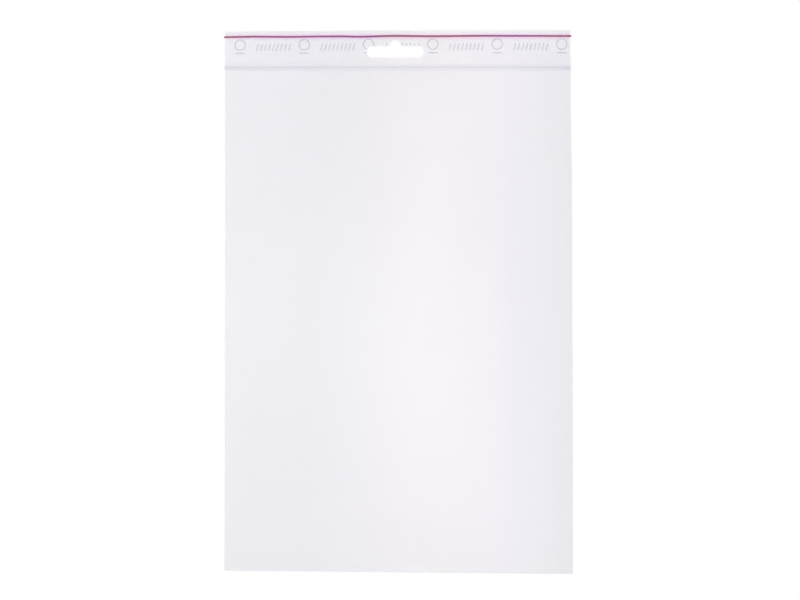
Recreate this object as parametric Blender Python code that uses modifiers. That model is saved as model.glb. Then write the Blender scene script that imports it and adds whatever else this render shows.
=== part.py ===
"""Press-seal bag blown and folded from one film, lying empty on its back wall.

Metres, +Z up. +X runs along the zip, +Y points to the mouth, and the back wall lies on Z = 0.
One film makes the back wall, the bottom fold, the front wall, both lips and the two halves of the
zip, which are drawn with the film and run its full width. A hot knife welds and cuts both sides.
"""

import math

import bmesh
import bpy
from mathutils import Matrix

# The bag
BAG_WIDTH = 0.180  # between the cut edges
BAG_LENGTH = 0.281  # from the bottom fold to the mouth
FILM_THICKNESS = 0.00006
WELD_WIDTH = 0.0003  # melted bead along each side
WELD_GAP = 0.00033  # between the two films' middles at the bead and across the bottom fold
PILLOW_HEIGHT = 0.0018  # how far the little air left in the pocket lifts the front wall
MOUTH_GAP = 0.0009  # between the lips, halfway along the mouth

# The zip: a hooked channel on the back wall holds a barbed rib on the front wall
ZIP_BELOW_MOUTH = 0.0194  # to the middle of the zip
ZIP_PAD_WIDTH = 0.0030
ZIP_PAD_THICKNESS = 0.00012  # film thickened under each half
PAD_EDGE_THICKNESS = 0.00004  # what is left of that at the pad's edges
PAD_TAPER = 0.00030  # width over which it thins out
ZIP_CLEARANCE = 0.00005  # all round the barbed rib
ZIP_SHOULDER = 0.006  # length over which a welded edge drops from the zip to the bead
CHANNEL_WIDTH = 0.0011
CHANNEL_DEPTH = 0.00068  # from the pad to the underside of the hooks
ARM_THICKNESS = 0.00040
ARM_FOOT = 0.00020  # slope where an arm stands on its pad
HOOK_REACH = 0.00026
HOOK_THICKNESS = 0.00034
HOOK_LEAD_IN = 0.00020  # slope that guides the rib between the hooks
BARB_DEPTH = 0.00016  # straight part of the barb, above the point
BARB_TIP_WIDTH = 0.00024
CRUSHED_END = 0.00055  # how far the melted zip stands out past each cut edge
CRUSHED_WIDTH = 0.0029

# The hang hole: a long slot with a round notch in its upper side
SLOT_LENGTH = 0.0300
SLOT_HEIGHT = 0.0061
SLOT_BELOW_MOUTH = 0.0112  # to the middle of the slot
HOLE_OFFSET = -0.0012  # punched a little left of the middle
NOTCH_RADIUS = 0.0026
NOTCH_RISE = 0.00055  # from the slot's upper side to the notch's centre
NOTCH_FILLET = 0.0015

# The coloured line, a low rib along the front lip
LINE_BELOW_MOUTH = 0.0030
LINE_WIDTH = 0.0009
LINE_THICKNESS = 0.00018
LINE_EDGE = 0.00005  # slope along its long edges
LINE_SEAT = 0.00002  # between the line and the lip
LINE_END_RADIUS = 0.00022  # melted bead at each end
LINE_END_SWELL = 0.00006  # how far the bead stands out on both sides of the line

# Outlines are filled in millimetres, because a curve's fill merges points closer than 0.03
OUTLINE_SCALE = 1000
OUTLINE_MERGE = 0.0001  # millimetres
COLUMNS = 22  # across the bag
POCKET_ROWS = 20
LIP_ROWS = 3  # in each stretch of the lip, below and above the line
FOLD_STEPS = 6
ARC_STEPS = 8  # for a quarter turn of the hang hole
BEAD_SIDES = 12
BEAD_BANDS = 8

FLOOR_FILM = FILM_THICKNESS / 2  # the middle of the back wall
HALF_WIDTH = BAG_WIDTH / 2
MOUTH_Y = BAG_LENGTH / 2
FOLD_RADIUS = WELD_GAP / 2
FOLD_Y = -MOUTH_Y + FOLD_RADIUS + FILM_THICKNESS / 2  # where the walls meet the fold
ZIP_Y = MOUTH_Y - ZIP_BELOW_MOUTH
ZIP_LOW = ZIP_Y - ZIP_PAD_WIDTH / 2 - WELD_GAP
ZIP_HIGH = ZIP_Y + ZIP_PAD_WIDTH / 2 + WELD_GAP
LINE_Y = MOUTH_Y - LINE_BELOW_MOUTH
CHANNEL_FLOOR = FILM_THICKNESS + ZIP_PAD_THICKNESS
ARM_TOP = CHANNEL_FLOOR + CHANNEL_DEPTH + HOOK_THICKNESS
RIB_ROOT = ARM_TOP + ZIP_CLEARANCE
ZIP_FILM = RIB_ROOT + ZIP_PAD_THICKNESS + FILM_THICKNESS / 2  # middle of the front wall there
ZIP_RISE = ZIP_FILM - FLOOR_FILM
HOLE_CUT_DEPTH = 2 * ZIP_RISE  # the punch's reach above and below the floor
WELD_INSET = WELD_WIDTH / 4  # how deep a weld and the zip's ends reach into each other


def clear_scene():
    for old in list(bpy.data.objects):
        bpy.data.objects.remove(old, do_unlink=True)


def new_collection(name):
    collection = bpy.data.collections.new(name)
    bpy.context.scene.collection.children.link(collection)
    return collection


def plastic(name, colour, roughness, alpha):
    material = bpy.data.materials.new(name)
    material.use_nodes = True
    shader = material.node_tree.nodes["Principled BSDF"]
    shader.inputs["Base Color"].default_value = (*colour, 1)
    shader.inputs["Roughness"].default_value = roughness
    shader.inputs["Metallic"].default_value = 0
    shader.inputs["Alpha"].default_value = alpha
    return material


def new_object(name, mesh, collection):
    obj = bpy.data.objects.new(name, mesh)
    collection.objects.link(obj)
    return obj


def as_helper(obj):
    obj.hide_render = True
    obj.display_type = "WIRE"
    return obj


def spaced(start, end, steps):
    """Values from start to end, both included, closer together near the ends."""
    return [start + (end - start) * ease(i / steps) for i in range(steps + 1)]


def ease(t):
    """Smooth step from 0 to 1, level at both ends."""
    t = min(max(t, 0.0), 1.0)
    return t * t * (3 - 2 * t)


def arc(x, y, radius, start, end, steps):
    """Points of an arc, with its angles in degrees."""
    angles = [math.radians(start + (end - start) * i / steps) for i in range(steps + 1)]
    return [(x + radius * math.cos(a), y + radius * math.sin(a)) for a in angles]


def front_rise(x, y):
    """How far the front film's middle lies above the back film's."""
    if ZIP_LOW <= y <= ZIP_HIGH:
        return ZIP_RISE
    if y < ZIP_LOW:
        from_zip = ZIP_LOW - y
        along = (y - FOLD_Y) / (ZIP_LOW - FOLD_Y)
        middle = WELD_GAP + (ZIP_RISE - WELD_GAP) * ease(along)
        middle += PILLOW_HEIGHT * math.sin(math.pi * along)
    else:
        from_zip = y - ZIP_HIGH
        along = (MOUTH_Y - y) / (MOUTH_Y - ZIP_HIGH)
        middle = MOUTH_GAP + (ZIP_RISE - MOUTH_GAP) * ease(along)
    edge = WELD_GAP + (ZIP_RISE - WELD_GAP) * ease(1 - from_zip / ZIP_SHOULDER)
    swell = max(0.0, 1 - (x / HALF_WIDTH) ** 2)
    return edge + (middle - edge) * swell


def front_rows():
    """Distances up the front wall, from the fold to the mouth."""
    line_low = LINE_Y - LINE_WIDTH / 2
    line_high = LINE_Y + LINE_WIDTH / 2
    rows = spaced(FOLD_Y, ZIP_LOW - ZIP_SHOULDER, POCKET_ROWS)
    rows += spaced(ZIP_LOW - ZIP_SHOULDER, ZIP_LOW, LIP_ROWS)[1:]
    rows += spaced(ZIP_HIGH, ZIP_HIGH + ZIP_SHOULDER, LIP_ROWS)
    rows += spaced(ZIP_HIGH + ZIP_SHOULDER, line_low, LIP_ROWS)[1:]
    return rows + [line_high, MOUTH_Y]


def film_section(x):
    """Middle of the film at x, as (y, z): the back wall, round the fold, and up the front wall."""
    back = [(MOUTH_Y, FLOOR_FILM)]
    turn = arc(FOLD_Y, FLOOR_FILM + FOLD_RADIUS, FOLD_RADIUS, 270, 90, 2 * FOLD_STEPS)
    front = [(y, FLOOR_FILM + front_rise(x, y)) for y in front_rows()[1:]]
    return back + turn + front


def columns():
    return [BAG_WIDTH * (i / COLUMNS - 0.5) for i in range(COLUMNS + 1)]


def sheet_mesh(name, sections, xs):
    """A grid bent so that each of its columns follows one section of (y, z) points."""
    rows = len(sections[0]) - 1
    bm = bmesh.new()
    bmesh.ops.create_grid(bm, x_segments=len(xs) - 1, y_segments=rows, size=0.5)
    for vert in bm.verts:
        column = round((vert.co.x + 0.5) * (len(xs) - 1))
        row = round((vert.co.y + 0.5) * rows)
        vert.co = (xs[column], *sections[column][row])
    mesh = bpy.data.meshes.new(name)
    bm.to_mesh(mesh)
    bm.free()
    mesh.shade_smooth()
    return mesh


def solidify(obj, thickness, offset):
    shell = obj.modifiers.new("Thickness", "SOLIDIFY")
    shell.thickness = thickness
    shell.offset = offset
    shell.use_even_offset = True


def bevel(obj, width):
    slope = obj.modifiers.new("Sloped edges", "BEVEL")
    slope.width = width
    slope.segments = 1
    slope.limit_method = "ANGLE"


def extruded(name, outline, half_length, collection, along_x=False):
    """A closed outline extruded both ways, as a helper mesh. Along X, its points are (y, z)."""
    curve = bpy.data.curves.new(name, "CURVE")
    curve.dimensions = "2D"
    curve.fill_mode = "BOTH"
    curve.extrude = half_length * OUTLINE_SCALE
    spline = curve.splines.new("POLY")
    spline.points.add(len(outline) - 1)
    for point, (a, b) in zip(spline.points, outline):
        point.co = (a * OUTLINE_SCALE, b * OUTLINE_SCALE, 0, 1)
    spline.use_cyclic_u = True
    source = new_object(name + "_outline", curve, collection)
    if along_x:
        source.rotation_euler = (math.pi / 2, 0, math.pi / 2)
    bpy.context.view_layer.update()
    evaluated = source.evaluated_get(bpy.context.evaluated_depsgraph_get())
    mesh = bpy.data.meshes.new_from_object(evaluated)
    bm = bmesh.new()
    bm.from_mesh(mesh)
    bmesh.ops.remove_doubles(bm, verts=bm.verts, dist=OUTLINE_MERGE)
    bmesh.ops.recalc_face_normals(bm, faces=bm.faces)
    bm.transform(Matrix.Scale(1 / OUTLINE_SCALE, 4))
    bm.to_mesh(mesh)
    bm.free()
    solid = new_object(name, mesh, collection)
    solid.matrix_world = source.matrix_world.copy()
    bpy.data.objects.remove(source, do_unlink=True)
    return as_helper(solid)


def ellipsoid(name, centre, radii, collection):
    bm = bmesh.new()
    bmesh.ops.create_uvsphere(bm, u_segments=BEAD_SIDES, v_segments=BEAD_BANDS, radius=1)
    mesh = bpy.data.meshes.new(name)
    bm.to_mesh(mesh)
    bm.free()
    solid = new_object(name, mesh, collection)
    solid.location = centre
    solid.scale = radii
    return as_helper(solid)


def combine(obj, other, operation):
    boolean = obj.modifiers.new(other.name, "BOOLEAN")
    boolean.operation = operation
    boolean.solver = "MANIFOLD"
    boolean.object = other


def mirrored_outline(half):
    """A closed outline about the zip's middle, from the points of its +Y half, bottom to top."""
    right = [(ZIP_Y + y, z) for y, z in half]
    left = [(ZIP_Y - y, z) for y, z in reversed(half)]
    return right + left


def channel_outline():
    """The half of the zip on the back wall: a pad with two arms that hook inwards."""
    inner = CHANNEL_WIDTH / 2
    outer = inner + ARM_THICKNESS
    tip = inner - HOOK_REACH
    hook_under = CHANNEL_FLOOR + CHANNEL_DEPTH
    return mirrored_outline(
        [
            (ZIP_PAD_WIDTH / 2, FLOOR_FILM),
            (ZIP_PAD_WIDTH / 2, FILM_THICKNESS + PAD_EDGE_THICKNESS),
            (ZIP_PAD_WIDTH / 2 - PAD_TAPER, CHANNEL_FLOOR),
            (outer + ARM_FOOT, CHANNEL_FLOOR),
            (outer, CHANNEL_FLOOR + ARM_FOOT),
            (outer, ARM_TOP - HOOK_LEAD_IN),
            (outer - HOOK_LEAD_IN, ARM_TOP),
            (inner, ARM_TOP),
            (tip, ARM_TOP - HOOK_LEAD_IN),
            (tip, hook_under),
            (inner, hook_under),
            (inner, CHANNEL_FLOOR),
        ]
    )


def rib_outline():
    """The half of the zip on the front wall: a pad with a stem and a barbed, pointed head."""
    barb = CHANNEL_WIDTH / 2 - ZIP_CLEARANCE
    stem = CHANNEL_WIDTH / 2 - HOOK_REACH - ZIP_CLEARANCE
    barb_top = CHANNEL_FLOOR + CHANNEL_DEPTH - ZIP_CLEARANCE
    return mirrored_outline(
        [
            (BARB_TIP_WIDTH / 2, CHANNEL_FLOOR + ZIP_CLEARANCE),
            (barb, barb_top - BARB_DEPTH),
            (barb, barb_top),
            (stem, barb_top),
            (stem, RIB_ROOT),
            (ZIP_PAD_WIDTH / 2 - PAD_TAPER, RIB_ROOT),
            (ZIP_PAD_WIDTH / 2, RIB_ROOT + ZIP_PAD_THICKNESS - PAD_EDGE_THICKNESS),
            (ZIP_PAD_WIDTH / 2, ZIP_FILM),
        ]
    )


def hole_outline():
    """A slot with round ends and a filleted round notch in the middle of its upper side."""
    end = SLOT_HEIGHT / 2
    run = SLOT_LENGTH / 2 - end
    reach = NOTCH_RADIUS + NOTCH_FILLET
    spread = math.sqrt(reach**2 - (NOTCH_FILLET - NOTCH_RISE) ** 2)
    lean = math.degrees(math.asin((NOTCH_FILLET - NOTCH_RISE) / reach))
    points = arc(run, 0, end, -90, 90, 2 * ARC_STEPS)
    points += arc(spread, end + NOTCH_FILLET, NOTCH_FILLET, 270, 180 + lean, ARC_STEPS)
    points += arc(0, end + NOTCH_RISE, NOTCH_RADIUS, lean, 180 - lean, 2 * ARC_STEPS)[1:-1]
    points += arc(-spread, end + NOTCH_FILLET, NOTCH_FILLET, -lean, -90, ARC_STEPS)
    points += arc(-run, 0, end, 90, 270, 2 * ARC_STEPS)
    middle = MOUTH_Y - SLOT_BELOW_MOUTH
    return [(x + HOLE_OFFSET, y + middle) for x, y in points]


def weld_outline():
    """The space between the two films at a cut edge, which the hot knife melts full."""
    section = film_section(HALF_WIDTH)
    end = MOUTH_Y - WELD_INSET
    (_, back_z), (_, front_z) = section[0], section[-1]
    return [(end, back_z), *section[1:-1], (end, front_z)]


def make_film(collection, helpers):
    xs = columns()
    mesh = sheet_mesh("bag_film", [film_section(x) for x in xs], xs)
    film = new_object("bag_film", mesh, collection)
    solidify(film, FILM_THICKNESS, 0)
    half_zip = HALF_WIDTH - WELD_INSET
    combine(film, extruded("zip_channel", channel_outline(), half_zip, helpers, True), "UNION")
    combine(film, extruded("zip_rib", rib_outline(), half_zip, helpers, True), "UNION")
    for side, x in (("left", -HALF_WIDTH), ("right", HALF_WIDTH)):
        weld = extruded(f"{side}_weld", weld_outline(), WELD_WIDTH / 2, helpers, True)
        weld.location.x = x
        combine(film, weld, "UNION")
        centre = (x, ZIP_Y, FLOOR_FILM + ZIP_RISE / 2)
        radii = (CRUSHED_END, CRUSHED_WIDTH / 2, ZIP_RISE / 2)
        combine(film, ellipsoid(f"{side}_crushed_zip", centre, radii, helpers), "UNION")
    hole = extruded("hang_hole", hole_outline(), HOLE_CUT_DEPTH, helpers)
    combine(film, hole, "DIFFERENCE")
    film.data.materials.append(plastic("bag_film", (0.90, 0.90, 0.92), 0.28, 0.45))
    return film


def make_line(collection, helpers):
    overhang = HALF_WIDTH + WELD_WIDTH / 2 + LINE_SEAT + LINE_END_RADIUS
    xs = [-overhang, *columns(), overhang]
    ys = [LINE_Y - LINE_WIDTH / 2, LINE_Y + LINE_WIDTH / 2]
    lift = FLOOR_FILM + FILM_THICKNESS / 2 + LINE_SEAT
    sections = [[(y, front_rise(x, y) + lift) for y in ys] for x in xs]
    line = new_object("colour_line", sheet_mesh("colour_line", sections, xs), collection)
    solidify(line, LINE_THICKNESS, 1)
    bevel(line, LINE_EDGE)
    for side, x in (("left", -overhang), ("right", overhang)):
        z = front_rise(x, LINE_Y) + lift + LINE_THICKNESS / 2
        radii = (LINE_END_RADIUS, LINE_WIDTH / 2 + LINE_END_SWELL, LINE_THICKNESS)
        end = ellipsoid(f"{side}_line_end", (x, LINE_Y, z), radii, helpers)
        combine(line, end, "UNION")
    line.data.materials.append(plastic("colour_line", (0.72, 0.05, 0.16), 0.35, 1))
    return line


def main():
    clear_scene()
    parts = new_collection("press_seal_bag")
    helpers = new_collection("cutters")
    make_film(parts, helpers)
    make_line(parts, helpers)
    bpy.context.view_layer.update()


main()
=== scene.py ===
"""Looks of the press-seal bag: clear film with a pressed zip, welded sides, a coloured lip line and a
row of plain printed marks. Metres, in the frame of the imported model: +Z up, +Y towards the mouth.
"""

import math

import bmesh
import bpy
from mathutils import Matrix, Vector, noise


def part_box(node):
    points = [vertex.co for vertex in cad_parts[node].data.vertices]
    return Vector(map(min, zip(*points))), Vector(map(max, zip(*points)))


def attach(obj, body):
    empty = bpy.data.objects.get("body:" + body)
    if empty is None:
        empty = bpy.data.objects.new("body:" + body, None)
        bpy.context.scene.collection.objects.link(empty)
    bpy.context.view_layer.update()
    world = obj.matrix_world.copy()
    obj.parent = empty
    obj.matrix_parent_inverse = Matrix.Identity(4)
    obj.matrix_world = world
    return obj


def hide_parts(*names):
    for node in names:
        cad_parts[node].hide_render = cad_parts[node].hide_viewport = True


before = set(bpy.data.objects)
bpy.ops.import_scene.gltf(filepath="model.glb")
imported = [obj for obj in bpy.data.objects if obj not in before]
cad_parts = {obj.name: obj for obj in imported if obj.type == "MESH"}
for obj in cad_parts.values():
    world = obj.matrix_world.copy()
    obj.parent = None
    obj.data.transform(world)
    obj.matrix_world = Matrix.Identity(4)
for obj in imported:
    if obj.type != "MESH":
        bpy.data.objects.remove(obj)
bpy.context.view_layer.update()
film_low, film_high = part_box("bag_film")
line_low, line_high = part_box("colour_line")

# Sizes that the film keeps from the model
FILM = 0.00006
WELD_GAP = 0.00033  # between the two films' middles at the welds and the bottom fold
ZIP_END = 0.00055  # the melted zip stands this far past the cut edge
ZIP_BELOW_MOUTH = 0.0194
ZIP_PAD_WIDTH = 0.0030
ZIP_PAD = 0.00012
ZIP_RISE = 0.00134  # between the two films' middles over the zip
ZIP_SHOULDER = 0.006
CHANNEL_WIDTH = 0.0011
CHANNEL_DEPTH = 0.00068
ARM = 0.00040
HOOK_REACH = 0.00026
HOOK = 0.00034
HOOK_LEAD_IN = 0.00020
CLEARANCE = 0.00005
BARB = 0.00016
BARB_TIP = 0.00024
PILLOW = 0.0018
MOUTH_GAP = 0.0009
LINE_WIDTH = 0.0009
LINE_THICKNESS = 0.00018
SINK = FILM / 4  # the welds and the zip's pads sink this far into the film
WELD_OUT = 0.00016  # the welds' beads stand this far past the cut edge
WELD_WOBBLE = 0.00003
EDGE_INSET = 0.00005  # the zip and the tint stop this short of the cut edge
ZIP_ROUNDING = 0.000025
LINE_LIFT = 0.000005  # above the lip
INK_LIFT = 0.000004
INK_THICKNESS = 0.000012

HALF_WIDTH = film_high.x - ZIP_END
MOUTH_Y = film_high.y
FOLD_RADIUS = WELD_GAP / 2
FOLD_Y = film_low.y + FOLD_RADIUS + FILM / 2
ZIP_Y = MOUTH_Y - ZIP_BELOW_MOUTH
ZIP_LOW = ZIP_Y - ZIP_PAD_WIDTH / 2 - WELD_GAP
ZIP_HIGH = ZIP_Y + ZIP_PAD_WIDTH / 2 + WELD_GAP
LINE_Y = (line_low.y + line_high.y) / 2

# Hang slot
SLOT_LENGTH = 0.0300
SLOT_HEIGHT = 0.0061
SLOT_BELOW_MOUTH = 0.0112
HOLE_OFFSET = -0.0012
NOTCH_RADIUS = 0.0026
NOTCH_RISE = 0.00055
NOTCH_FILLET = 0.0015
CUTTER_LOW = -0.002
CUTTER_HIGH = 0.006

# Fineness
COLUMNS = 96
POCKET_ROWS = 120
SHOULDER_ROWS = 10
LIP_ROWS = 24
ZIP_ROWS = 44
FOLD_STEPS = 6
BACK_ROWS = 12
ARC_STEPS = 14
ZIP_COLUMNS = 48
WELD_STEPS = 10  # round the bead
WELD_POCKET_ROWS = 220
WELD_ZIP_ROWS = 60
WELD_LIP_ROWS = 20
LINE_STEPS = 12  # round the line
LINE_END_STEPS = 12
LINE_COLUMNS = 160
TINT_ROWS = 16
RING_STEPS = 48
DASH_PIECES = 6
STROKE_PIECES = 4
MERGE_DISTANCE = 0.000001

# How far the real bag is cut out of true
SKEW = 0.0055  # the cuts slant across by this much per unit of width
BOW = 0.00022  # the sides bend to the right in their middle
BOW_IN_MIDDLE = 0.6  # the share of the bow that lies there
RIGHT_CUT_IN = 0.0004  # the right side's cut runs in towards the mouth
CUT_IN_FROM_Y = 0.070
CUT_IN_LENGTH = 0.030
LIP_RISE = 0.00010
STEP_DROP = 0.00020  # the mouth is cut lower left of a small step
STEP_X = -0.032
STEP_WIDTH = 0.008
CORNER_DROP = 0.00034  # and lower still at its left corner
CORNER_FROM_X = 0.070
CORNER_WIDTH = 0.020
MOUTH_WAVE = 0.00005
MOUTH_WAVES_PER_METRE = 55
LINE_WAVER = 0.00012  # the line was drawn a little unsteadily
LINE_WAVER_SHARES = (0.6, 0.4)  # of the waver in the middle, and lost from there to the right end
LINE_WAVER_PITCH = 0.037
LINE_WAVER_START = -0.0573
LINE_LOW = 0.00008  # and a little low
LINE_BENDS = [  # and bends here and there: place along the line, rise and width
    (-0.0900, 0.00027, 0.009),
    (-0.0200, -0.00022, 0.009),
    (0.0235, -0.00012, 0.011),
    (0.0515, 0.00009, 0.008),
]
LINE_FULLER = 0.10  # the line is drawn wider by this share in its middle
LINE_FULLER_REACH = 0.045

# The camera, fitted to the zip, the fold and the side edges in the photograph
CAMERA_AT = (0.03874, -0.02499, 0.97851)
CAMERA_TURN = (1.475, 2.205, -0.055)  # degrees
LENS = 85
SENSOR_WIDTH = 36
CLIP_START = 0.01


def ease(t):
    t = min(max(t, 0.0), 1.0)
    return t * t * (3 - 2 * t)


def spaced(start, end, steps):
    return [start + (end - start) * (i / steps) for i in range(steps + 1)]


def turns(steps):
    """Angles spread evenly round a full turn."""
    return [2 * math.pi * i / steps for i in range(steps)]


def arc(x, y, radius, start, end, steps):
    """Points on an arc, between two angles in degrees."""
    angles = [math.radians(start + (end - start) * i / steps) for i in range(steps + 1)]
    return [(x + radius * math.cos(a), y + radius * math.sin(a)) for a in angles]


# How the film lies

RIPPLE_HEIGHT = 0.00022
RIPPLE_SCALE = (14.0, 9.0)  # waves per metre across and along
FINE_RIPPLE_HEIGHT = 0.00005
FINE_RIPPLE_SCALE = (42.0, 26.0)
ZIP_RIDGES = [  # fine drawn ridges of the film over the zip: place from its middle, height and width
    (-0.00150, 0.000022, 0.00022),
    (-0.00055, 0.000020, 0.00018),
    (0.00055, 0.000020, 0.00022),
    (0.00120, 0.000015, 0.00030),
]
RIPPLE_SLICE = 3.7  # where each noise is sliced, which picks its pattern
FINE_RIPPLE_SLICE = 8.1
MOUTH_SLICE = 5.2
WELD_SLICE = 1.3
WELD_WOBBLES_PER_METRE = 900
WELD_SIDE_SLICE = 5.0


def ripple(x, y):
    """Slack in the film: broad low waves that die out at the welds, the fold and the zip."""
    slow = noise.noise(Vector((x * RIPPLE_SCALE[0], y * RIPPLE_SCALE[1], RIPPLE_SLICE)))
    fine = (x * FINE_RIPPLE_SCALE[0], y * FINE_RIPPLE_SCALE[1], FINE_RIPPLE_SLICE)
    quick = noise.noise(Vector(fine))
    return slow * RIPPLE_HEIGHT + quick * FINE_RIPPLE_HEIGHT


def swells(place, bumps):
    """Height at a place of some soft bumps, each given as its place, height and width."""
    return sum(height * math.exp(-(((place - at) / width) ** 2)) for at, height, width in bumps)


def front_rise(x, y):
    """How far the front film's middle lies above the back film's."""
    if ZIP_LOW <= y <= ZIP_HIGH:
        return ZIP_RISE + swells(y - ZIP_Y, ZIP_RIDGES)
    if y < ZIP_LOW:
        from_zip = ZIP_LOW - y
        along = (y - FOLD_Y) / (ZIP_LOW - FOLD_Y)
        middle = WELD_GAP + (ZIP_RISE - WELD_GAP) * ease(along)
        middle += PILLOW * math.sin(math.pi * along)
    else:
        from_zip = y - ZIP_HIGH
        along = (MOUTH_Y - y) / (MOUTH_Y - ZIP_HIGH)
        middle = MOUTH_GAP + (ZIP_RISE - MOUTH_GAP) * ease(along)
    edge = WELD_GAP + (ZIP_RISE - WELD_GAP) * ease(1 - from_zip / ZIP_SHOULDER)
    swell = max(0.0, 1 - (x / HALF_WIDTH) ** 2)
    return edge + (middle - edge) * swell + ripple(x, y) * swell * ease(from_zip / ZIP_SHOULDER)


def front_top(x, y):
    """The upper surface of the front film."""
    return FILM + front_rise(x, y)


def front_rows():
    """Places along the front film, closest over the zip."""
    rows = spaced(FOLD_Y, ZIP_LOW - ZIP_SHOULDER, POCKET_ROWS)
    rows += spaced(ZIP_LOW - ZIP_SHOULDER, ZIP_LOW, SHOULDER_ROWS)[1:]
    rows += spaced(ZIP_LOW, ZIP_HIGH, ZIP_ROWS)[1:]
    rows += spaced(ZIP_HIGH, ZIP_HIGH + ZIP_SHOULDER, SHOULDER_ROWS)[1:]
    return rows + spaced(ZIP_HIGH + ZIP_SHOULDER, MOUTH_Y, LIP_ROWS)[1:]


def film_section(x):
    """Middle of the film at x, as (y, z): the back wall, round the fold, and up the front wall."""
    back = [(y, FILM / 2) for y in spaced(MOUTH_Y, FOLD_Y, BACK_ROWS)[:-1]]
    turn = arc(FOLD_Y, FILM / 2 + FOLD_RADIUS, FOLD_RADIUS, 270, 90, 2 * FOLD_STEPS)
    front = [(y, FILM / 2 + front_rise(x, y)) for y in front_rows()[1:]]
    return back + turn + front


def true_to_cut(x, y):
    """Where a point of the square model lies on the real bag, whose cuts are a little out of true."""
    lip = ease((y - ZIP_HIGH) / (MOUTH_Y - ZIP_HIGH))
    corner = ease((-x - CORNER_FROM_X) / CORNER_WIDTH)
    step = ease((STEP_X - x) / STEP_WIDTH + 0.5)
    wave = noise.noise(Vector((x * MOUTH_WAVES_PER_METRE, 0.0, MOUTH_SLICE)))
    drop = STEP_DROP * step + CORNER_DROP * corner + MOUTH_WAVE * wave - LIP_RISE
    bow = BOW * (BOW_IN_MIDDLE - (y / MOUTH_Y) ** 2)
    cut_in = RIGHT_CUT_IN * ease((y - CUT_IN_FROM_Y) / CUT_IN_LENGTH)
    cut_in *= max(0.0, x / HALF_WIDTH)
    return x + bow - cut_in, y - SKEW * x - drop * lip


def line_middle(x):
    """The line wavers as it was drawn, more at its left end than at its right."""
    kept, lost = LINE_WAVER_SHARES
    fading = LINE_WAVER * (kept - lost * x / HALF_WIDTH)
    turn = 2 * math.pi * (x - LINE_WAVER_START) / LINE_WAVER_PITCH
    return LINE_Y - LINE_LOW - fading * math.cos(turn) + swells(x, LINE_BENDS)


def cut_out_of_true(obj):
    """Move every point to where the real bag's cuts put it."""
    for vertex in obj.data.vertices:
        vertex.co.x, vertex.co.y = true_to_cut(vertex.co.x, vertex.co.y)


# Mesh helpers

FLAT_SMOOTH = 35  # degrees; a sharper turn of the surface stays an edge
ROUND_SMOOTH = 60
ROUND_FROM = 30
ROUND_SEGMENTS = 2


def new_object(name, mesh):
    obj = bpy.data.objects.new(name, mesh)
    bpy.context.scene.collection.objects.link(obj)
    return obj


def mesh_of(name, bm):
    mesh = bpy.data.meshes.new(name)
    bm.to_mesh(mesh)
    bm.free()
    return mesh


def sheet_mesh(name, sections, xs):
    """An open sheet through sections of (y, z) points, one at each x."""
    rows = len(sections[0]) - 1
    bm = bmesh.new()
    bmesh.ops.create_grid(bm, x_segments=len(xs) - 1, y_segments=rows, size=0.5)
    for vert in bm.verts:
        column = round((vert.co.x + 0.5) * (len(xs) - 1))
        row = round((vert.co.y + 0.5) * rows)
        vert.co = (xs[column], *sections[column][row])
    return mesh_of(name, bm)


def loft(name, rings):
    """A closed solid through rings of points, capped at both ends."""
    bm = bmesh.new()
    made = [[bm.verts.new(p) for p in ring] for ring in rings]
    for first, second in zip(made, made[1:]):
        for i in range(len(first)):
            j = (i + 1) % len(first)
            bm.faces.new((first[i], first[j], second[j], second[i]))
    bm.faces.new(made[0])
    bm.faces.new(list(reversed(made[-1])))
    bmesh.ops.recalc_face_normals(bm, faces=bm.faces)
    return new_object(name, mesh_of(name, bm))


def prism(name, outline, low, high):
    return loft(name, [[(x, y, z) for x, y in outline] for z in (low, high)])


def apply_modifiers(obj):
    bpy.context.view_layer.update()
    evaluated = obj.evaluated_get(bpy.context.evaluated_depsgraph_get())
    mesh = bpy.data.meshes.new_from_object(evaluated)
    obj.modifiers.clear()
    obj.data = mesh


def smooth(obj, angle=FLAT_SMOOTH):
    obj.data.shade_smooth()
    obj.data.set_sharp_from_angle(angle=math.radians(angle))


def solidify(obj, thickness, offset):
    shell = obj.modifiers.new("Thickness", "SOLIDIFY")
    shell.thickness = thickness
    shell.offset = offset
    shell.use_even_offset = True


def give_material(obj, material):
    obj.data.materials.clear()
    obj.data.materials.append(material)


def cut(obj, cutter):
    boolean = obj.modifiers.new("Cut", "BOOLEAN")
    boolean.operation = "DIFFERENCE"
    boolean.solver = "EXACT"
    boolean.object = cutter


def round_edges(obj, width):
    bevel = obj.modifiers.new("Rounding", "BEVEL")
    bevel.width = width
    bevel.segments = ROUND_SEGMENTS
    bevel.limit_method = "ANGLE"
    bevel.angle_limit = math.radians(ROUND_FROM)


# Materials

PLASTIC_IOR = 1.51
FILM_IOR = 1.58
INK_IOR = 1.5
FILM_ALPHA = 0.10
WELD_ALPHA = 0.14
INK_ALPHA = 0.42
FILM_BUMP = 0.000005
PLASTIC_BUMP = 0.00001
FILM_ROUGHNESS = (0.19, 0.26)
ZIP_ROUGHNESS = (0.22, 0.36)
WELD_ROUGHNESS = (0.18, 0.32)
LINE_ROUGHNESS = (0.30, 0.44)
TINT_ROUGHNESS = (0.25, 0.35)
INK_ROUGHNESS = (0.45, 0.60)

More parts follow.
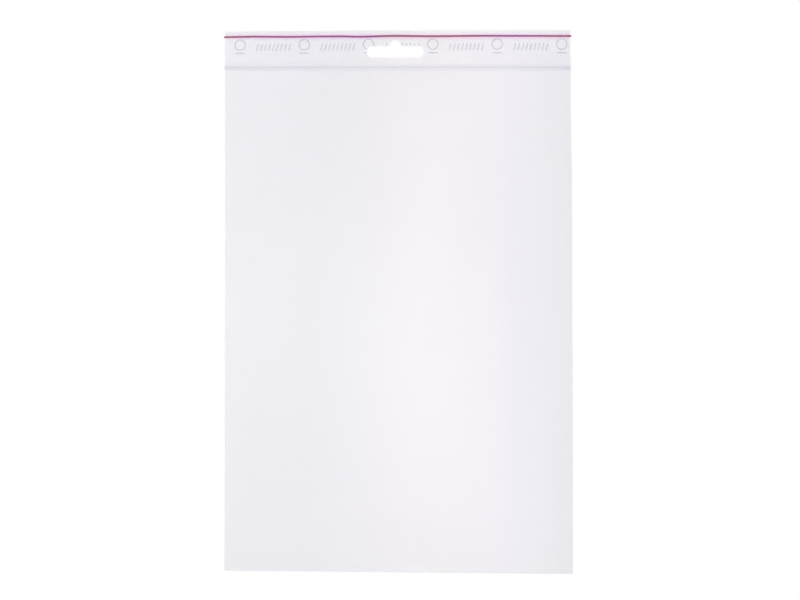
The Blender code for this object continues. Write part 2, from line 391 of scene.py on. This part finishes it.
# Noises: scale, detail, and a stretch that draws them out along the zip or along the bag
NOISE_ROUGHNESS = 0.55
FILM_CLOUDS = (9, 2, (1, 0.4, 1))
FILM_STREAKS = (160, 2, (0.12, 1, 1))
FILM_DRAWN = (420, 3, (0.10, 1, 1))
ZIP_CLOUDS = (90, 2, (0.2, 1, 1))
ZIP_STREAKS = (300, 3, (0.1, 1, 1))
ZIP_DRAWN = (500, 3, (0.05, 1, 1))
WELD_CLOUDS = (300, 3, (1, 0.3, 1))
WELD_GRAIN = (500, 3, (1, 1, 1))
LINE_STREAKS = (60, 3, (0.5, 1, 1))
LINE_GRAIN = (400, 3, (1, 1, 1))
LINE_DRAWN = (700, 3, (0.1, 1, 1))
INK_CLOUDS = (900, 2, (1, 1, 1))
INK_GRAIN = (1200, 3, (1, 1, 1))


def grey(level):
    return (level, level, level)


class Nodes:
    """A material's node tree, with short calls for the nodes used here."""

    def __init__(self, name):
        self.material = bpy.data.materials.new(name)
        self.material.use_nodes = True
        self.tree = self.material.node_tree
        self.shader = self.tree.nodes["Principled BSDF"]
        self.place = self.node("ShaderNodeTexCoord").outputs["Object"]

    def node(self, kind, **settings):
        made = self.tree.nodes.new(kind)
        for key, value in settings.items():
            setattr(made, key, value)
        return made

    def link(self, source, target):
        self.tree.links.new(source, target)

    def stretched(self, scale):
        mapping = self.node("ShaderNodeMapping")
        mapping.inputs["Scale"].default_value = scale
        self.link(self.place, mapping.inputs["Vector"])
        return mapping.outputs["Vector"]

    def measured(self, direction, start, end):
        """How far a point lies from start to end in a direction, as 0 to 1."""
        made = self.node("ShaderNodeVectorMath", operation="DOT_PRODUCT")
        made.inputs[1].default_value = direction
        self.link(self.place, made.inputs[0])
        spread = self.node("ShaderNodeMapRange")
        spread.inputs["From Min"].default_value = start
        spread.inputs["From Max"].default_value = end
        self.link(made.outputs["Value"], spread.inputs["Value"])
        return spread.outputs["Result"]

    def across(self, start, end):
        """0 to 1 over a band that runs along the zip, between two heights on the bag."""
        return self.measured((SKEW, 1, 0), start, end)

    def along(self, start, end):
        return self.measured((1, 0, 0), start, end)

    def times(self, first, second):
        made = self.node("ShaderNodeMix", data_type="RGBA", blend_type="MULTIPLY")
        made.inputs["Factor"].default_value = 1
        self.link(first, made.inputs[6])
        self.link(second, made.inputs[7])
        return made.outputs[2]

    def noise(self, scale, detail, stretch):
        made = self.node("ShaderNodeTexNoise")
        made.inputs["Scale"].default_value = scale
        made.inputs["Detail"].default_value = detail
        made.inputs["Roughness"].default_value = NOISE_ROUGHNESS
        self.link(self.stretched(stretch), made.inputs["Vector"])
        return made.outputs["Fac"]

    def cells(self, per_metre):
        """Distance to the nearest of some scattered points, in cell widths."""
        made = self.node("ShaderNodeTexVoronoi", voronoi_dimensions="2D")
        made.inputs["Scale"].default_value = per_metre
        self.link(self.place, made.inputs["Vector"])
        return made.outputs["Distance"]

    def ramp(self, value, stops):
        made = self.node("ShaderNodeValToRGB")
        ramp = made.color_ramp
        while len(ramp.elements) < len(stops):
            ramp.elements.new(0.5)
        for element, (position, colour) in zip(ramp.elements, stops):
            element.position = position
            element.color = (*colour, 1)
        self.link(value, made.inputs["Fac"])
        return made.outputs["Color"]

    def span(self, value, low, high):
        """A 0 to 1 value spread over low to high."""
        made = self.node("ShaderNodeMapRange")
        made.inputs["To Min"].default_value = low
        made.inputs["To Max"].default_value = high
        self.link(value, made.inputs["Value"])
        return made.outputs["Result"]

    def scaled(self, value, factor):
        made = self.node("ShaderNodeMath", operation="MULTIPLY")
        made.inputs[1].default_value = factor
        self.link(value, made.inputs[0])
        return made.outputs[0]

    def bump(self, height, distance):
        made = self.node("ShaderNodeBump")
        made.inputs["Distance"].default_value = distance
        self.link(height, made.inputs["Height"])
        return made.outputs["Normal"]

    def look(self, colour, grain, roughness, ior=PLASTIC_IOR, drawn=None, height=PLASTIC_BUMP):
        """Fill the shader in: a colour, a roughness that follows a noise, and a drawn bump."""
        self.link(colour, self.shader.inputs["Base Color"])
        self.link(self.span(self.noise(*grain), *roughness), self.shader.inputs["Roughness"])
        if drawn is not None:
            self.link(self.bump(self.noise(*drawn), height), self.shader.inputs["Normal"])
        self.shader.inputs["IOR"].default_value = ior


FILM_TINT_AND_PAINTED_SHADE = [  # painted shade and sheen across the bag, lighter at its left edge and right of the middle, darker at its right edge, over the film's faint pink and violet tint
    (0.00, (0.74, 0.72, 0.84)),
    (0.25, (0.68, 0.66, 0.78)),
    (0.45, (0.72, 0.67, 0.79)),
    (0.62, (0.75, 0.67, 0.77)),
    (0.78, (0.77, 0.69, 0.84)),
    (0.90, (0.70, 0.68, 0.81)),
    (1.00, (0.64, 0.63, 0.76)),
]
CORNER_SHADE = [(0, grey(1)), (1, (0.92, 0.93, 0.94))]  # the film darkens to its lower right
CORNER_DIRECTION = (1, -0.5, 0)
CORNER_FROM = 0.05
CORNER_TO = 0.16
FOLD_SHADE = [(0, grey(0.93)), (1, grey(1))]  # and towards the fold
FOLD_SHADE_LENGTH = 0.030
FILM_CLOUD_SHADE = [(0.3, grey(0.92)), (0.6, grey(1))]
SHADES_FROM = -0.006  # the film's painted highlight and greys beside the zip run from here to there, from the zip's middle
SHADES_TO = 0.003
FILM_ZIP_PAINTED_HIGHLIGHT = [  # painted highlight: the film is painted lighter around the zip's lower edge, which also lifts the zip's shadow; it is a little greyer over the pocket than on the lip
    (0.00, grey(0.97)),
    (0.40, grey(0.97)),
    (0.45, grey(1.18)),
    (0.60, grey(1.16)),
    (0.90, grey(1.02)),
    (1.00, grey(1.00)),
]
LINE_FOOT = [  # and under the line
    (0.00, grey(1.00)),
    (0.25, grey(1.18)),
    (0.75, grey(1.18)),
    (1.00, grey(1.00)),
]
SPECK_DIM = 0.86
SPECK_RADIUS = 0.0014
SPECKS_PER_METRE = 7
LINE_TINT_WIDTH = 0.0036
LINE_TINT_LOW = 0.00020  # the tint's middle lies this far below the line's
LINE_TINT_Y = LINE_Y - LINE_TINT_LOW
LINE_TINT_ALPHA = 0.32  # at each of its two surfaces


def over_tint(m, stops):
    """Colours across the band of tinted film that the line stands on."""
    half = LINE_TINT_WIDTH / 2
    return m.ramp(m.across(LINE_TINT_Y - half, LINE_TINT_Y + half), stops)


def film_material():
    m = Nodes("clear_film")
    # painted shade and sheen across the bag, over the film's faint tint
    tint_and_shade = m.ramp(m.along(-HALF_WIDTH, HALF_WIDTH), FILM_TINT_AND_PAINTED_SHADE)
    corner = m.ramp(m.measured(CORNER_DIRECTION, CORNER_FROM, CORNER_TO), CORNER_SHADE)
    fold = m.ramp(m.across(FOLD_Y, FOLD_Y + FOLD_SHADE_LENGTH), FOLD_SHADE)
    clouds = m.ramp(m.noise(*FILM_CLOUDS), FILM_CLOUD_SHADE)
    # painted highlight around the zip's lower edge, which also lifts the zip's shadow
    lip = m.ramp(m.across(ZIP_Y + SHADES_FROM, ZIP_Y + SHADES_TO), FILM_ZIP_PAINTED_HIGHLIGHT)
    foot = over_tint(m, LINE_FOOT)
    edge = SPECK_RADIUS * SPECKS_PER_METRE
    specks = m.ramp(m.cells(SPECKS_PER_METRE), [(edge / 2, grey(SPECK_DIM)), (edge, grey(1))])
    colour = tint_and_shade
    for shade in (corner, fold, clouds, lip, foot, specks):
        colour = m.times(colour, shade)
    m.look(colour, FILM_STREAKS, FILM_ROUGHNESS, FILM_IOR, FILM_DRAWN, FILM_BUMP)
    m.shader.inputs["Specular IOR Level"].default_value = 1.0
    m.shader.inputs["Alpha"].default_value = FILM_ALPHA
    return m.material


ZIP_GREYS_AND_PAINTED_EDGE = [  # greyer in lines where the hooks stand under the pad, the lower line partly a painted shadow of the pad's edge; lightest at the pad's lower edge, a painted highlight
    (0.00, (1.00, 1.00, 1.00)),
    (0.07, (0.96, 0.95, 0.99)),
    (0.14, (0.76, 0.75, 0.80)),
    (0.22, (0.74, 0.73, 0.78)),
    (0.32, (0.82, 0.81, 0.86)),
    (0.48, (0.72, 0.71, 0.76)),
    (0.66, (0.82, 0.81, 0.86)),
    (0.84, (0.90, 0.89, 0.94)),
    (1.00, (0.95, 0.94, 0.98)),
]
ZIP_CLOUD_SHADE = [(0.3, grey(0.97)), (0.7, grey(1))]


def zip_material():
    """Milky plastic with grey lines, with a painted shadow and a painted highlight at the pad's lower
    edge.
    """
    m = Nodes("zip_plastic")
    clouds = m.ramp(m.noise(*ZIP_CLOUDS), ZIP_CLOUD_SHADE)
    half = ZIP_PAD_WIDTH / 2
    lines = m.ramp(m.across(ZIP_Y - half, ZIP_Y + half), ZIP_GREYS_AND_PAINTED_EDGE)
    m.look(m.times(clouds, lines), ZIP_STREAKS, ZIP_ROUGHNESS, drawn=ZIP_DRAWN)
    return m.material


WELD_COLOURS = [(0.3, (0.88, 0.87, 0.93)), (0.7, (0.97, 0.96, 1.0))]


def weld_material():
    m = Nodes("weld_plastic")
    m.look(m.ramp(m.noise(*WELD_CLOUDS), WELD_COLOURS), WELD_GRAIN, WELD_ROUGHNESS)
    m.shader.inputs["Alpha"].default_value = WELD_ALPHA
    return m.material


CRIMSON = (0.32, 0.080, 0.160)
MAUVE = (0.31, 0.075, 0.195)
PURPLE = (0.30, 0.070, 0.250)
LINE_COLOURS = [  # along the line, from its left end
    (0.00, CRIMSON),
    (0.10, MAUVE),
    (0.30, PURPLE),
    (0.42, PURPLE),
    (0.48, CRIMSON),
    (0.72, CRIMSON),
    (0.82, PURPLE),
    (0.92, MAUVE),
    (1.00, CRIMSON),
]
LINE_STREAK_SHADE = [(0.3, grey(0.88)), (0.7, grey(1))]
PINK_GREEN = 0.60  # the tint's pinks are this much paler than the line's colours
PINK_BLUE = 0.74
TINT_FADE = [(0, grey(0)), (0.25, grey(0.9)), (0.5, grey(1)), (0.75, grey(0.9)), (1, grey(0))]


def line_material():
    m = Nodes("line_plastic")
    drift = m.ramp(m.along(-HALF_WIDTH, HALF_WIDTH), LINE_COLOURS)
    streaks = m.ramp(m.noise(*LINE_STREAKS), LINE_STREAK_SHADE)
    m.look(m.times(drift, streaks), LINE_GRAIN, LINE_ROUGHNESS, drawn=LINE_DRAWN)
    return m.material


def line_tint_material():
    """The film beside the line, which its colour has bled into: pale pink, clear at its edges."""
    m = Nodes("line_tint_plastic")
    pinks = [(at, (1.0, PINK_GREEN + g, PINK_BLUE + b)) for at, (_, g, b) in LINE_COLOURS]
    m.look(m.ramp(m.along(-HALF_WIDTH, HALF_WIDTH), pinks), LINE_GRAIN, TINT_ROUGHNESS)
    m.link(m.span(over_tint(m, TINT_FADE), 0.0, LINE_TINT_ALPHA), m.shader.inputs["Alpha"])
    return m.material


INK_COLOURS = [(0.35, (0.52, 0.50, 0.62)), (0.65, (0.62, 0.60, 0.72))]


def ink_material():
    m = Nodes("pale_ink")
    m.look(m.ramp(m.noise(*INK_CLOUDS), INK_COLOURS), INK_GRAIN, INK_ROUGHNESS, INK_IOR)
    m.shader.inputs["Alpha"].default_value = INK_ALPHA
    return m.material


# Pieces


def columns(count, inset=0.0):
    """Places across the bag, which stop short of its cut edges by the inset."""
    half = HALF_WIDTH - inset
    return [half * (2 * i / count - 1) for i in range(count + 1)]


def hole_outline():
    """The hang slot, with a round notch in its upper edge that has filleted corners."""
    end = SLOT_HEIGHT / 2
    run = SLOT_LENGTH / 2 - end
    reach = NOTCH_RADIUS + NOTCH_FILLET
    spread = math.sqrt(reach**2 - (NOTCH_FILLET - NOTCH_RISE) ** 2)
    lean = math.degrees(math.asin((NOTCH_FILLET - NOTCH_RISE) / reach))
    points = arc(run, 0, end, -90, 90, 2 * ARC_STEPS)
    points += arc(spread, end + NOTCH_FILLET, NOTCH_FILLET, 270, 180 + lean, ARC_STEPS)
    points += arc(0, end + NOTCH_RISE, NOTCH_RADIUS, lean, 180 - lean, 2 * ARC_STEPS)[1:-1]
    points += arc(-spread, end + NOTCH_FILLET, NOTCH_FILLET, -lean, -90, ARC_STEPS)
    points += arc(-run, 0, end, 90, 270, 2 * ARC_STEPS)
    middle = MOUTH_Y - SLOT_BELOW_MOUTH
    return [(x + HOLE_OFFSET, y + middle) for x, y in points]


def hole_cutter():
    cutter = prism("hang_hole_cutter", hole_outline(), CUTTER_LOW, CUTTER_HIGH)
    cutter.hide_render = True
    return cutter


def make_film(cutter, material):
    xs = columns(COLUMNS)
    film = new_object("film_sheet", sheet_mesh("film_sheet", [film_section(x) for x in xs], xs))
    solidify(film, FILM, 0)
    cut(film, cutter)
    apply_modifiers(film)
    smooth(film)
    give_material(film, material)
    return film


def both_sides(half):
    """A closed section from its right half, given as places from the zip's middle."""
    right = [(ZIP_Y + y, z) for y, z in half]
    left = [(ZIP_Y - y, z) for y, z in reversed(half)]
    return right + left


def channel_ring():
    """Section of the back half: a pad with two hooked arms and lead-in slopes."""
    inner = CHANNEL_WIDTH / 2
    outer = inner + ARM
    floor = FILM + ZIP_PAD
    under = floor + CHANNEL_DEPTH
    top = under + HOOK
    return both_sides(
        [
            (ZIP_PAD_WIDTH / 2, FILM - SINK),
            (ZIP_PAD_WIDTH / 2, FILM + ZIP_PAD / 3),
            (outer + ARM / 2, floor),
            (outer, floor + ARM / 2),
            (outer, top - HOOK_LEAD_IN),
            (outer - HOOK_LEAD_IN, top),
            (inner, top),
            (inner - HOOK_REACH, top - HOOK_LEAD_IN),
            (inner - HOOK_REACH, under),
            (inner, under),
            (inner, floor),
        ]
    )


def rib_ring():
    """Section of the front half: a pad with a stem and a barbed head, caught under the hooks."""
    barb = CHANNEL_WIDTH / 2 - CLEARANCE
    stem = CHANNEL_WIDTH / 2 - HOOK_REACH - CLEARANCE
    floor = FILM + ZIP_PAD
    barb_top = floor + CHANNEL_DEPTH - CLEARANCE
    root = ZIP_RISE - ZIP_PAD
    return both_sides(
        [
            (BARB_TIP / 2, floor + CLEARANCE),
            (barb, barb_top - BARB),
            (barb, barb_top),
            (stem, barb_top),
            (stem, root),
            (ZIP_PAD_WIDTH / 2 - ARM, root),
            (ZIP_PAD_WIDTH / 2, root + ZIP_PAD * 2 / 3),
            (ZIP_PAD_WIDTH / 2, root + ZIP_PAD + SINK),
        ]
    )


def make_profile(name, ring, material):
    """One half of the zip: its section drawn out from side to side."""
    xs = columns(ZIP_COLUMNS, EDGE_INSET)
    profile = loft(name, [[(x, y, z) for y, z in ring] for x in xs])
    round_edges(profile, ZIP_ROUNDING)
    apply_modifiers(profile)
    smooth(profile)
    give_material(profile, material)
    return profile


def weld_ring(side, y):
    """Section of the melted bead at y: an oval between the two films, swollen at the zip."""
    at_zip = ease(1 - max(0.0, abs(y - ZIP_Y) - ZIP_PAD_WIDTH / 3) / (ZIP_PAD_WIDTH / 3))
    place = (side * WELD_SIDE_SLICE, y * WELD_WOBBLES_PER_METRE, WELD_SLICE)
    out = WELD_OUT + WELD_WOBBLE * noise.noise(Vector(place))
    out += (ZIP_END - WELD_OUT) * at_zip
    low = SINK
    high = FILM / 2 + front_rise(side * HALF_WIDTH, y) + SINK
    middle, half = (low + high) / 2, (high - low) / 2
    return [
        (side * (HALF_WIDTH + out * math.cos(a)), y, middle + half * math.sin(a))
        for a in turns(WELD_STEPS)
    ]


def make_weld(name, side, material):
    ys = spaced(FOLD_Y, ZIP_LOW - ZIP_SHOULDER, WELD_POCKET_ROWS)
    ys += spaced(ZIP_LOW - ZIP_SHOULDER, ZIP_HIGH + ZIP_SHOULDER, WELD_ZIP_ROWS)[1:]
    ys += spaced(ZIP_HIGH + ZIP_SHOULDER, MOUTH_Y, WELD_LIP_ROWS)[1:]
    weld = loft(name, [weld_ring(side, y) for y in ys])
    smooth(weld, ROUND_SMOOTH)
    give_material(weld, material)
    return weld


LINE_END_ROUND = 0.00035
LINE_END_SWELL = 0.25
LINE_END_REACH = 0.0009  # how far in from its tip the melted end is swollen
LINE_TIP_LEAST = 0.01  # keeps the tip's last ring from closing to a point


def line_places():
    """Places along the line, close together at its melted ends."""
    tip = line_high.x
    inner = tip - LINE_END_REACH
    end = [tip - LINE_END_REACH * (i / LINE_END_STEPS) ** 2 for i in range(LINE_END_STEPS)]
    middle = spaced(inner, -inner, LINE_COLUMNS)
    return end + middle + [-x for x in reversed(end)]


def make_line(material):
    """The coloured rib on the lip, with melted round ends past the cut edges."""
    rings = []
    for x in line_places():
        to_tip = line_high.x - abs(x)
        swell = 1 + LINE_END_SWELL * ease(1 - to_tip / LINE_END_REACH)
        rounding = 1 - max(0.0, 1 - to_tip / LINE_END_ROUND) ** 2
        size = swell * math.sqrt(max(LINE_TIP_LEAST, rounding))
        inside = min(max(x, -HALF_WIDTH), HALF_WIDTH)
        middle = front_top(inside, LINE_Y) + LINE_THICKNESS / 2 + LINE_LIFT
        y = line_middle(x)
        fuller = 1 + LINE_FULLER * math.exp(-((x / LINE_FULLER_REACH) ** 2))
        half = LINE_WIDTH / 2 * size * fuller
        rise = LINE_THICKNESS / 2 * size
        ring = [(x, y + half * math.cos(a), middle + rise * math.sin(a)) for a in turns(LINE_STEPS)]
        rings.append(ring)
    line = loft("lip_line", rings)
    smooth(line, ROUND_SMOOTH)
    give_material(line, material)
    return line


def make_line_tint(material):
    """A film-thin ribbon on the lip on both sides of the line."""
    half = LINE_TINT_WIDTH / 2
    ys = spaced(LINE_TINT_Y - half, LINE_TINT_Y + half, TINT_ROWS)
    xs = columns(COLUMNS, EDGE_INSET)
    sections = [[(y, front_top(x, y) + INK_LIFT) for y in ys] for x in xs]
    tint = new_object("line_tint", sheet_mesh("line_tint", sections, xs))
    solidify(tint, INK_THICKNESS, 1)
    apply_modifiers(tint)
    smooth(tint)
    give_material(tint, material)
    return tint


# Printed marks: plain rings with a dash below, and groups of slanted strokes between them

RINGS = 6
MARK_PITCH = 0.03356
FIRST_RING_X = -0.0822
RING_BELOW_MOUTH = 0.0073
RING_RADIUS = 0.0027
PRINT_STROKE = 0.00042
DASH_BELOW_MOUTH = 0.0117
DASH_LENGTH = 0.0050
STROKES = 9
GROUP_FROM_RING = 0.52  # each group's middle, in pitches from the ring on its left
STROKES_BELOW_MOUTH = 0.0087
STROKE_HEIGHT = 0.0036
STROKE_PITCH = 0.0021
STROKE_LEAN = 0.0010


def ring_band(x, y, radius):
    outer = arc(x, y, radius + PRINT_STROKE / 2, 0, 360, RING_STEPS)
    inner = arc(x, y, radius - PRINT_STROKE / 2, 0, 360, RING_STEPS)
    return [(outer[i], outer[i + 1], inner[i + 1], inner[i]) for i in range(RING_STEPS)]


def bar_band(start, end, pieces):
    """A straight stroke cut into short quads, so that it can follow the film."""
    (x0, y0), (x1, y1) = start, end
    length = math.hypot(x1 - x0, y1 - y0)
    nx, ny = -(y1 - y0) / length * PRINT_STROKE / 2, (x1 - x0) / length * PRINT_STROKE / 2
    quads = []
    for i in range(pieces):
        a, b = i / pieces, (i + 1) / pieces
        pa = (x0 + (x1 - x0) * a, y0 + (y1 - y0) * a)
        pb = (x0 + (x1 - x0) * b, y0 + (y1 - y0) * b)
        quads.append(
            (
                (pa[0] - nx, pa[1] - ny),
                (pb[0] - nx, pb[1] - ny),
                (pb[0] + nx, pb[1] + ny),
                (pa[0] + nx, pa[1] + ny),
            )
        )
    return quads


def print_quads():
    quads = []
    for k in range(RINGS):
        x = FIRST_RING_X + k * MARK_PITCH
        quads += ring_band(x, MOUTH_Y - RING_BELOW_MOUTH, RING_RADIUS)
        y = MOUTH_Y - DASH_BELOW_MOUTH
        quads += bar_band((x - DASH_LENGTH / 2, y), (x + DASH_LENGTH / 2, y), DASH_PIECES)
    for k in range(RINGS - 1):
        middle = FIRST_RING_X + (k + GROUP_FROM_RING) * MARK_PITCH
        for i in range(STROKES):
            x = middle + (i - (STROKES - 1) / 2) * STROKE_PITCH
            y = MOUTH_Y - STROKES_BELOW_MOUTH
            start = (x - STROKE_LEAN / 2, y - STROKE_HEIGHT / 2)
            end = (x + STROKE_LEAN / 2, y + STROKE_HEIGHT / 2)
            quads += bar_band(start, end, STROKE_PIECES)
    return quads


def make_print(cutter, material):
    bm = bmesh.new()
    for quad in print_quads():
        bm.faces.new([bm.verts.new((x, y, front_top(x, y) + INK_LIFT)) for x, y in quad])
    bmesh.ops.remove_doubles(bm, verts=bm.verts, dist=MERGE_DISTANCE)
    bmesh.ops.recalc_face_normals(bm, faces=bm.faces)
    if sum(face.normal.z for face in bm.faces) < 0:
        bmesh.ops.reverse_faces(bm, faces=bm.faces)
    marks = new_object("lip_print", mesh_of("lip_print", bm))
    solidify(marks, INK_THICKNESS, 1)
    cut(marks, cutter)
    apply_modifiers(marks)
    give_material(marks, material)
    return marks


# The studio

SEE_THROUGH_LAYERS = 32  # film, print and tint are many clear surfaces, for sight and for light
FLOOR_SIZE = 4
FLOOR_Z = -0.0002
FLOOR_LEVEL = 0.96
FLOOR_ROUGHNESS = 0.9
FLOOR_GLOW = 1.065
FLOOR_GLOW_SHARE = 0.6
WORLD_LEVEL = 0.79
WHITE = (1, 1, 1, 1)
LAMPS = [  # name, place, aim, size and watts
    ("strip", (0.0145, 0.03, 1.5), (0.0145, 0.03, 0), (0.10, 0.82), 2.0),
    ("side", (-0.60, 0.0, 1.5), (0, 0, 0), (0.3, 1.4), 2.6),
]


def make_floor():
    """White where the camera, gloss or clear plastic sees it, yet lit enough to keep the shadow."""
    bm = bmesh.new()
    bmesh.ops.create_grid(bm, x_segments=1, y_segments=1, size=FLOOR_SIZE)
    floor = new_object("floor", mesh_of("floor", bm))
    floor.location.z = FLOOR_Z
    m = Nodes("white_floor")
    m.shader.inputs["Base Color"].default_value = (*grey(FLOOR_LEVEL), 1)
    m.shader.inputs["Roughness"].default_value = FLOOR_ROUGHNESS
    m.shader.inputs["Specular IOR Level"].default_value = 0
    glow = m.node("ShaderNodeEmission")
    glow.inputs["Color"].default_value = WHITE
    glow.inputs["Strength"].default_value = FLOOR_GLOW
    mix = m.node("ShaderNodeMixShader")
    m.link(m.scaled(seen_share(m.tree), FLOOR_GLOW_SHARE), mix.inputs["Fac"])
    m.link(m.shader.outputs[0], mix.inputs[1])
    m.link(glow.outputs[0], mix.inputs[2])
    m.link(mix.outputs[0], m.tree.nodes["Material Output"].inputs["Surface"])
    give_material(floor, m.material)


def seen_share(tree):
    """1 for rays that show the background: from the camera, by gloss or through clear plastic."""
    path = tree.nodes.new("ShaderNodeLightPath")
    share = path.outputs["Is Camera Ray"]
    for kind in ("Is Glossy Ray", "Is Transmission Ray"):
        more = tree.nodes.new("ShaderNodeMath")
        more.operation = "MAXIMUM"
        tree.links.new(share, more.inputs[0])
        tree.links.new(path.outputs[kind], more.inputs[1])
        share = more.outputs[0]
    return share


def make_world():
    world = bpy.data.worlds.new("studio")
    bpy.context.scene.world = world
    world.use_nodes = True
    tree = world.node_tree
    tree.nodes.clear()
    light = tree.nodes.new("ShaderNodeBackground")
    light.inputs["Strength"].default_value = WORLD_LEVEL
    seen = tree.nodes.new("ShaderNodeBackground")
    mix = tree.nodes.new("ShaderNodeMixShader")
    out = tree.nodes.new("ShaderNodeOutputWorld")
    for background in (light, seen):
        background.inputs["Color"].default_value = WHITE
    tree.links.new(seen_share(tree), mix.inputs["Fac"])
    tree.links.new(light.outputs[0], mix.inputs[1])
    tree.links.new(seen.outputs[0], mix.inputs[2])
    tree.links.new(mix.outputs[0], out.inputs["Surface"])


def area_light(name, at, aim, size, power):
    data = bpy.data.lights.new(name, "AREA")
    data.shape = "RECTANGLE"
    data.size, data.size_y = size
    data.energy = power
    lamp = bpy.data.objects.new(name, data)
    bpy.context.scene.collection.objects.link(lamp)
    lamp.location = at
    lamp.rotation_euler = (Vector(aim) - Vector(at)).to_track_quat("-Z", "Y").to_euler()


def make_camera():
    data = bpy.data.cameras.new("camera")
    data.lens = LENS
    data.sensor_width = SENSOR_WIDTH
    data.clip_start = CLIP_START
    camera = bpy.data.objects.new("camera", data)
    bpy.context.scene.collection.objects.link(camera)
    camera.location = CAMERA_AT
    camera.rotation_euler = [math.radians(a) for a in CAMERA_TURN]
    bpy.context.scene.camera = camera


def main():
    bpy.context.scene.view_settings.view_transform = "Standard"
    bpy.context.scene.cycles.transparent_max_bounces = SEE_THROUGH_LAYERS
    make_camera()
    film_plastic = film_material()
    zip_plastic = zip_material()
    cutter = hole_cutter()
    film = make_film(cutter, film_plastic)
    marks = make_print(cutter, ink_material())
    bpy.data.objects.remove(cutter, do_unlink=True)
    channel = make_profile("zip_channel", channel_ring(), zip_plastic)
    rib = make_profile("zip_rib", rib_ring(), zip_plastic)
    weld_plastic = weld_material()
    welds = [make_weld("weld_left", -1, weld_plastic), make_weld("weld_right", 1, weld_plastic)]
    line = make_line(line_material())
    tint = make_line_tint(line_tint_material())
    for piece in (film, channel, rib, *welds, marks, line, tint):
        cut_out_of_true(piece)
    for piece in (film, channel, rib, *welds, marks):
        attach(piece, "root")
        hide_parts("bag_film")
    for piece in (line, tint):
        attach(piece, "root")
        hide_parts("colour_line")
    make_floor()
    make_world()
    for lamp in LAMPS:
        area_light(*lamp)


main()
